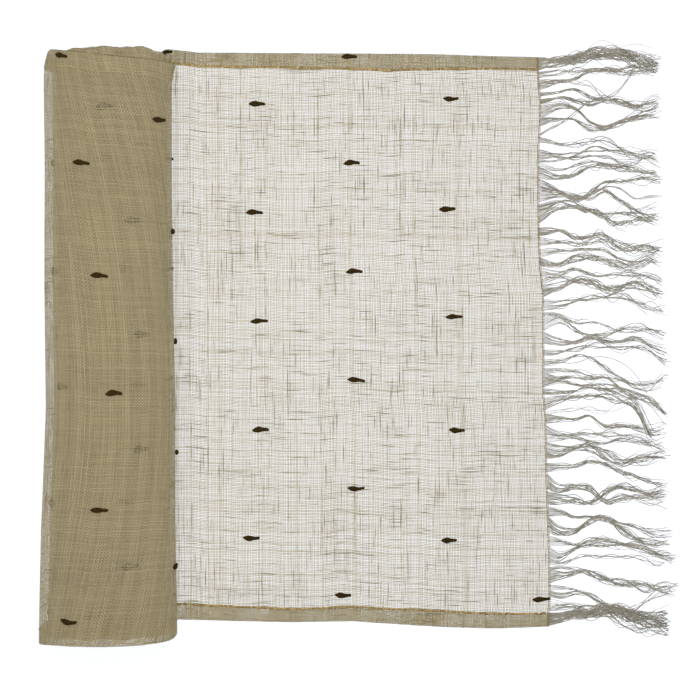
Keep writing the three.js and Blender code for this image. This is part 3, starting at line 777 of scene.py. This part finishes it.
def tubes(paths, radii, sides):
    """Closed thin tubes along paths, as points, faces and UV places.

    paths is a list of arrays of x, y, z, and radii one of arrays with a radius for each place.
    """
    points, faces, uvs = [], [], []
    base = 0
    corner = 2 * math.pi * (np.arange(sides) + 0.5) / sides
    for path, radius in zip(paths, radii):
        run = np.gradient(path, axis=0)
        run /= np.linalg.norm(run, axis=1, keepdims=True) + 1e-12
        side = np.cross(run, np.array([0.0, 0.0, 1.0]))
        side /= np.linalg.norm(side, axis=1, keepdims=True) + 1e-12
        lift = np.cross(side, run)
        ring = (
            side[:, None, :] * np.cos(corner)[None, :, None]
            + lift[:, None, :] * np.sin(corner)[None, :, None]
        )
        body = path[:, None, :] + ring * radius[:, None, None]
        points.append(body.reshape(-1, 3))
        steps = np.linalg.norm(np.diff(path, axis=0), axis=1)
        u = np.concatenate([[0], np.cumsum(steps)])[:, None] + base * 0.13
        v = corner * 0.3 + base * 0.07
        uvs.append(np.stack(np.broadcast_arrays(u, v), -1).reshape(-1, 2))
        faces.extend(ring_faces(base, len(path), sides))
        base += len(path) * sides
    return np.concatenate(points), faces, np.concatenate(uvs)


# Operators

class RUNNER_OT_cloth(bpy.types.Operator):
    """Makes the gauze in one piece, with its folded hems, laid flat and rolled"""

    bl_idname = "runner.cloth"
    bl_label = "Gauze"
    columns = 41
    hem_skew = 0.3

    def alongs(self, lay):
        """The places along the cloth where its mesh bends, in finer steps in the outer turns."""
        flat = np.arange(0, lay.flat_length - 2, 3.0)
        last = lay.turn_at(lay.size.cut_length)
        parts = ((0, 1, 96), (1, 2, 80), (2, last - 0.005, 56))
        turns = np.concatenate([np.arange(start, end, 1 / steps) for start, end, steps in parts])
        return np.concatenate([flat, lay.along_at(turns), [lay.size.cut_length]])

    def folded(self, lay, alongs):
        """The across and out of every point, from the front raw edge to the back one."""
        size = lay.size
        half = size.width / 2
        uneven = 0.35 * np.sin(alongs / 7.3) + 0.25 * np.sin(alongs / 3.7 + 1)
        hems = []
        for side, sign in (("front", -1), ("back", 1)):
            width = (read(HEM_WIDTHS, "along", alongs, side) + uneven * sign)[:, None]
            across = sign * (half - width * HEM_FOLD["share"])
            out = np.broadcast_to(HEM_FOLD["layer"] * size.hem_lift, across.shape)
            hems.append((across[:, ::-sign], out[:, ::-sign]))
        (front, front_out), (back, back_out) = hems
        share = (np.linspace(-1, 1, self.columns)[1:-1] + 1) / 2
        body = front[:, -1:] + (back[:, :1] - front[:, -1:]) * share
        across = np.concatenate([front, body, back], axis=1)
        return across, np.concatenate([front_out, 0 * body, back_out], axis=1)

    def execute(self, context):
        lay = Lay()
        size = lay.size
        alongs = self.alongs(lay)
        across, out = self.folded(lay, alongs)
        rows, count = across.shape
        along = np.broadcast_to(alongs[:, None], across.shape)
        points = lay.laid(along, across, out).reshape(-1, 3)
        steps = np.hypot(np.diff(across, axis=1), np.diff(out, axis=1))
        unfolded = np.concatenate([np.zeros((rows, 1)), np.cumsum(steps, axis=1)], axis=1)
        unfolded -= unfolded[:, count // 2:count // 2 + 1]
        bow = lay.lead(lay.turn_at(along), across)
        layer = out / size.hem_lift
        skew = self.hem_skew * layer * np.sin(along / 27 + 2 * layer)
        uvs = np.stack([along - bow + skew, unfolded], axis=-1).reshape(-1, 2)
        faces = grid_faces(rows, count)[:, ::-1].tolist()
        piece = make_piece("gauze_cloth", points, faces, uvs, gauze_material(), "flax_gauze")
        apply_modifier(piece, "SOLIDIFY", thickness=size.thickness * MM, offset=0)
        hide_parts("runner_cloth")
        return {"FINISHED"}


class RUNNER_OT_knots(bpy.types.Operator):
    """Makes the embroidered knots in their staggered columns"""

    bl_idname = "runner.knots"
    bl_label = "Knots"
    columns = 40
    rings = 27
    sides = 12
    # Knots inside the roll stay clear of the cloth's end and of its back hem
    clear_of_end = 6
    clear_from = 150
    # Seen through the gauze, they look wider
    inner = SimpleNamespace(wide=1.4, high=0.98)

    def seeds(self, lay, knot):
        """Each knot's place along and across, its face, and whether it is inside the roll."""
        last = lay.size.cut_length
        for column in range(self.columns):
            at = knot.first + knot.column_pitch * column
            rows = KNOT_ROWS["odd" if column % 2 else "even"]
            if column < FLAT_COLUMNS:
                nearness = np.clip((NEAR.gone - at) / (NEAR.gone - NEAR.full), 0, 1)
                acrosses = rows["across"] + rows["near"] * nearness
                alongs = np.minimum(at + rows["nudge"], lay.flat_length - knot.clear_of_roll)
                for along, across in zip(alongs, acrosses):
                    if along > knot.knot_length / 2:
                        yield along, across, 1, False
                continue
            inside = column >= INNER_COLUMN
            at -= knot.slip * inside
            for across, nudge in zip(rows["roll_across"], rows["roll_nudge"]):
                even = at + nudge
                along = even + lay.lead(lay.turn_at(even), across)
                if along < last - self.clear_of_end and (across < self.clear_from or not inside):
                    yield along, across, -1, inside

    def sew(self, lay, knot, rng, seed):
        """The points and UV places of one knot, ring by ring from its tail."""
        along, across, face, inside = seed
        place = np.linspace(0, 1, self.rings)[:, None]
        corner = 2 * math.pi * np.arange(self.sides)[None, :] / self.sides
        tilt = rng.normal(0, 0.05)
        long = knot.knot_length * rng.uniform(0.92, 1.08)
        wide = knot.knot_width * rng.uniform(0.92, 1.08) * (self.inner.wide if inside else 1.0)
        bend = rng.normal(0, 0.35)
        wraps = knot.wraps + rng.integers(-1, 2)
        slant = rng.uniform(0.1, 0.22)
        wrap = np.abs(np.sin(math.pi * wraps * place + slant * 9 * np.cos(corner)))
        around = read(KNOT_OUTLINE, "place", place, "size") * (0.86 + 0.2 * wrap ** 0.6)
        sideways = around * np.cos(corner) * wide / 2
        # The underside is flat, where the knot sits on the cloth
        up = np.maximum(around * np.sin(corner), -0.35) + 0.35
        height = 0.15 + up / 1.4 * knot.knot_height * (self.inner.high if inside else 1.0)
        step = (place - 0.5) * long * np.ones(self.sides)
        curve = bend * (4 * (place - 0.5) ** 2 - 0.4)
        s = along + face * (step + tilt * sideways)
        w = across + sideways + tilt * step + curve
        return lay.laid(s.ravel(), w.ravel(), (face * height).ravel()), place * long, corner * 2

    def execute(self, context):
        lay = Lay()
        knot = in_mm(context.scene.runner_knots)
        rng = np.random.default_rng(5)
        points, faces, uvs = [], [], []
        base = 0
        for seed in self.seeds(lay, knot):
            sewn, u, v = self.sew(lay, knot, rng, seed)
            points.append(sewn)
            uv = np.stack(np.broadcast_arrays(u + base, v + base), -1)
            uvs.append(uv.reshape(-1, 2) % 977)
            faces.extend(ring_faces(base, self.rings, self.sides))
            base += self.rings * self.sides
        floss = thread_material("brown_floss", context.scene.runner_finish.floss, 700, 0.8)
        points, uvs = np.concatenate(points), np.concatenate(uvs)
        piece = make_piece("embroidered_knots", points, faces, uvs, floss, "brown_floss")
        point_outwards(piece)
        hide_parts(*[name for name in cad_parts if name.startswith("knot_")])
        return {"FINISHED"}


class RUNNER_OT_stitches(bpy.types.Operator):
    """Sews the rows of machine stitches along the hems and the ravelled end"""

    bl_idname = "runner.stitches"
    bl_label = "Stitches"
    # A stitch dives into the cloth at both ends
    ease = np.array([-0.5, -0.38, 0, 0.38, 0.5])
    lift = np.array([-0.25, 0.1, 0.2, 0.1, -0.25])
    taper = np.array([0.6, 1, 1, 1, 0.6])
    # Shares of a stitch's thickness and length, and for the end's row also the places of the row
    # and of the hem that it climbs
    on_roll = SimpleNamespace(thick=0.27, long=0.55)
    at_end = SimpleNamespace(thick=0.42, long=0.78, step=0.8, along=1.3, hem=9.6)

    def execute(self, context):
        lay = Lay()
        knot = in_mm(context.scene.runner_knots)
        rng = np.random.default_rng(3)
        radius = knot.stitch_width / 2
        half = lay.size.width / 2
        hem_top = 2 * lay.size.hem_lift
        paths, radii = [], []
        for sign, side in ((-1, "front"), (1, "back")):
            for at in np.arange(4, lay.along_at(1.02), knot.stitch_length):
                across = sign * (half - read(HEM_WIDTHS, "along", at, side) + 0.6)
                rolled = at > lay.flat_length
                long = knot.stitch_length * (self.on_roll.long if rolled else 1.0)
                wide = radius * (self.on_roll.thick if rolled else 1.0)
                out = -(0.05 + self.lift) if rolled else hem_top + 0.05 + self.lift
                w = across + rng.normal(0, 0.1) + 0.15 * self.ease
                paths.append(lay.laid(at + self.ease * long, w, out))
                radii.append(wide * self.taper)
        for at in np.arange(-half + 1, half - 1, knot.stitch_length * self.at_end.step):
            w = at + self.ease * knot.stitch_length * self.at_end.long
            s = self.at_end.along + rng.normal(0, 0.1) + 0.25 * self.ease
            on_hem = np.abs(w) > half - self.at_end.hem
            paths.append(lay.laid(s, w, 0.1 + self.lift + hem_top * on_hem))
            radii.append(radius * self.at_end.thick * self.taper)
        sewing = thread_material("sewing_thread", context.scene.runner_finish.sewing, 400, 0.7)
        make_piece("machine_stitches", *tubes(paths, radii, 4), sewing, "flax_gauze")
        return {"FINISHED"}


def photo_x(column):
    """A column of the photograph as a place on the surface."""
    return (column - PHOTO.column) * PHOTO.mm - BOX_MIDDLE.x


def photo_y(row):
    """A row of the photograph as a place on the surface."""
    return (PHOTO.row - row) * PHOTO.mm - BOX_MIDDLE.y


def smooth_line(xs, ys, x):
    """A smooth line through places that are sorted by x."""
    slope = np.gradient(ys, xs)
    i = np.clip(np.searchsorted(xs, x) - 1, 0, len(xs) - 2)
    gap = xs[i + 1] - xs[i]
    t = np.clip((x - xs[i]) / gap, 0, 1)
    # Each weight goes with the height or the slope at one end of the gap
    h00 = 2 * t ** 3 - 3 * t ** 2 + 1
    h10 = t ** 3 - 2 * t ** 2 + t
    h01 = 3 * t ** 2 - 2 * t ** 3
    h11 = t ** 3 - t ** 2
    return h00 * ys[i] + h10 * gap * slope[i] + h01 * ys[i + 1] + h11 * gap * slope[i + 1]


class RUNNER_OT_fringe(bpy.types.Operator):
    """Ravels the fringe: every thread clings to its bundle and frays at its tip"""

    bl_idname = "runner.fringe"
    bl_label = "Fringe"
    # The hems' bundles have more threads than this, and lie thicker and looser
    thick_from = 20
    edge_room = 0.3
    # Shares of the threads that stray from their bundle, and that have broken off short
    lone = 0.26
    broken = 0.1

    def execute(self, context):
        lay = Lay()
        fringe = in_mm(context.scene.runner_fringe)
        rng = np.random.default_rng(fringe.seed)
        paths, radii = [], []
        for i in range(len(BUNDLES["top"])):
            bundle = SimpleNamespace(**{key: column[i] for key, column in BUNDLES.items()})
            for path, radius in self.ravel(bundle, lay, fringe, rng):
                paths.append(path)
                radii.append(radius)
        base = context.scene.runner_finish.fringe
        yarn = thread_material("ravelled_flax", base, 120, 0.85, sheen=0.1)
        made = tubes(paths, radii, 3)
        piece = make_piece("fringe_threads", *made, yarn, "ravelled_flax")
        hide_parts("fringe")
        return {"FINISHED"}

    def ravel(self, bundle, lay, fringe, rng):
        """The threads of one bundle, which cling together in a few loose strands."""
        count = int(round(bundle.threads * fringe.fullness))
        thick = bundle.threads > self.thick_from
        columns = [x for x in BUNDLE_COLUMNS if x < bundle.tip_x - 4]
        root_row = (bundle.top + bundle.bottom) / 2
        rows = [root_row, *[getattr(bundle, f"y{x}") for x in columns], bundle.tip_y]
        line_x = np.array([photo_x(x) for x in [PHOTO.root, *columns, bundle.tip_x]])
        line_y = np.array([photo_y(y) for y in rows])
        root_half = (bundle.bottom - bundle.top) / 2 * PHOTO.mm
        most = lay.size.width / 2 - self.edge_room
        strands = max(1, round(count / 5))
        strand_phase = rng.uniform(0, 2 * math.pi, strands)
        strand_wave = rng.uniform(24, 60, strands)
        strand_reach = rng.uniform(0.5, 1.3, strands) * fringe.loose * (0.8 + 0.03 * count)
        for n in range(count):
            side = (n + 0.5) / count * 2 - 1 if count > 1 else 0.0
            strand = int(n / count * strands)
            w = photo_y(root_row) + side * root_half + BOX_MIDDLE.y - END_Y
            w = np.clip(w, -most, most)
            root = lay.laid(0.9, w, 0.0)
            edge = lay.laid(0.0, w, 0.0)
            lone = rng.random() < self.lone and not thick
            reach = line_x[-1] + rng.normal(-0.6, 1.5)
            if rng.random() < self.broken:
                reach -= rng.uniform(0, 30)
            steps = max(8, int((reach - edge[0]) / fringe.step))
            x = np.linspace(edge[0], reach, steps)
            run = x - edge[0]
            share = run / run[-1]
            gather = np.exp(-((run / rng.uniform(9, 17)) ** 1.5))
            phase = rng.uniform(0, 2 * math.pi)
            turn = 2 * math.pi * run
            clung = strand_reach[strand] * np.sin(turn / strand_wave[strand] + strand_phase[strand])
            cling = (0.9 if thick else 0.42) * fringe.loose
            own = cling * rng.normal(0, 1) * np.cos(turn / rng.uniform(26, 50) + phase)
            if lone:
                stray = rng.uniform(1.0, 2.8) * np.sin(turn / rng.uniform(14, 38) + phase)
                own = own + stray * np.clip(share * 3, 0, 1)
            frayed = np.clip((share - 0.5) / 0.5, 0, 1) ** 1.6
            fray = rng.normal(0, 3.0 if thick else 2.0) * frayed
            wander = 0.3 * np.sin(run / rng.uniform(1.7, 3.2) + phase) * np.clip(share * 5, 0, 1)
            curled = np.sin(run / rng.uniform(0.95, 1.3) + 2 * phase)
            curl = 0.12 * curled * np.clip(share * 6, 0, 1)
            y = smooth_line(line_x, line_y, x)
            y = y + gather * side * root_half + (1 - gather) * (clung + own)
            y = y + fray + wander + curl
            y = y + (edge[1] - y[0]) * np.exp(-run / 4.0)
            crimp = fringe.crimp * np.sin(x / 1.3 + phase)
            lift = 0.4 * (0.5 + 0.5 * np.sin(x / 6.1 + phase)) * (1 - gather)
            z = 0.24 + lift * (2.2 if thick else 1.0) + 0.25 * gather + np.abs(crimp)
            taper = np.concatenate([[1], 1 - 0.25 * share ** 3])
            path = np.concatenate([[root], np.stack([x, y, z], axis=1)])
            yield path, fringe.thread_radius * rng.uniform(0.7, 1.25) * taper


class RUNNER_OT_stage(bpy.types.Operator):
    """Sets the pale floor, the soft light and the camera straight above"""

    bl_idname = "runner.stage"
    bl_label = "Stage"

    def execute(self, context):
        stage = context.scene.runner_stage
        bpy.ops.object.select_all(action="DESELECT")
        bpy.ops.mesh.primitive_plane_add(size=6, location=(0, 0, -0.0004))
        floor = context.active_object
        floor.name = "floor"
        glow = bpy.data.materials.new("pale_floor")
        glow.use_nodes = True
        nodes = glow.node_tree.nodes
        surface = nodes["Principled BSDF"]
        surface.inputs["Base Color"].default_value = (0.25, 0.25, 0.25, 1)
        surface.inputs["Roughness"].default_value = 1
        surface.inputs["Emission Color"].default_value = (0.97, 1.0, 1.07, 1)
        surface.inputs["Emission Strength"].default_value = stage.floor_glow
        floor.data.materials.append(glow)
        floor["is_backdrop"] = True
        world = bpy.data.worlds.new("studio")
        world.use_nodes = True
        world.node_tree.nodes["Background"].inputs["Color"].default_value = (1.0, 0.985, 0.95, 1)
        world.node_tree.nodes["Background"].inputs["Strength"].default_value = stage.sky_glow
        context.scene.world = world
        bpy.ops.object.light_add(type="AREA", location=(-0.1, 0.08, 0.58))
        key = context.active_object
        key.name = "key_light"
        key.data.energy = stage.key_power
        key.data.size = 0.4
        key.data.color = (1.0, 0.99, 0.98)
        key.rotation_euler = (-key.location).to_track_quat("-Z", "Y").to_euler()
        place = (-BOX_MIDDLE.x * MM, -BOX_MIDDLE.y * MM, stage.camera_height)
        bpy.ops.object.camera_add(location=place, rotation=(0, 0, 0))
        camera = context.active_object
        camera.data.sensor_width = 36
        camera.data.lens = 36 * stage.camera_height / stage.view_width
        camera.data.clip_end = 20
        context.scene.camera = camera
        context.scene.view_settings.view_transform = "Standard"
        # A ray through the roll meets both faces of every turn
        context.scene.cycles.transparent_max_bounces = 48
        context.scene.cycles.max_bounces = 6
        context.scene.cycles.diffuse_bounces = 3
        return {"FINISHED"}


STEPS = (RUNNER_OT_stage, RUNNER_OT_fringe, RUNNER_OT_cloth, RUNNER_OT_knots, RUNNER_OT_stitches)


class RUNNER_PT_panel(bpy.types.Panel):
    """Lists the runner's sizes and the steps that make it"""

    bl_label = "Rolled table runner"
    bl_idname = "RUNNER_PT_panel"
    bl_space_type = "VIEW_3D"
    bl_region_type = "UI"
    bl_category = "Runner"

    def draw(self, context):
        for name, group in GROUPS.items():
            box = self.layout.box()
            for prop in group.__annotations__:
                box.prop(getattr(context.scene, name), prop)
        for step in STEPS:
            self.layout.operator(step.bl_idname)


def register():
    for group in GROUPS.values():
        bpy.utils.register_class(group)
    for step in (*STEPS, RUNNER_PT_panel):
        bpy.utils.register_class(step)
    for name, group in GROUPS.items():
        setattr(bpy.types.Scene, name, PointerProperty(type=group))


def unregister():
    for name in GROUPS:
        delattr(bpy.types.Scene, name)
    for made in (RUNNER_PT_panel, *reversed(STEPS), *GROUPS.values()):
        bpy.utils.unregister_class(made)


def main():
    register()
    bpy.ops.runner.stage()
    bpy.ops.runner.fringe()
    bpy.ops.runner.cloth()
    bpy.ops.runner.knots()
    bpy.ops.runner.stitches()
    boxes = {"cad": CAD_BOX, "visual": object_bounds()}
    {key: [list(corner) for corner in box] for key, box in boxes.items()}


if __name__ == "__main__":
    main()
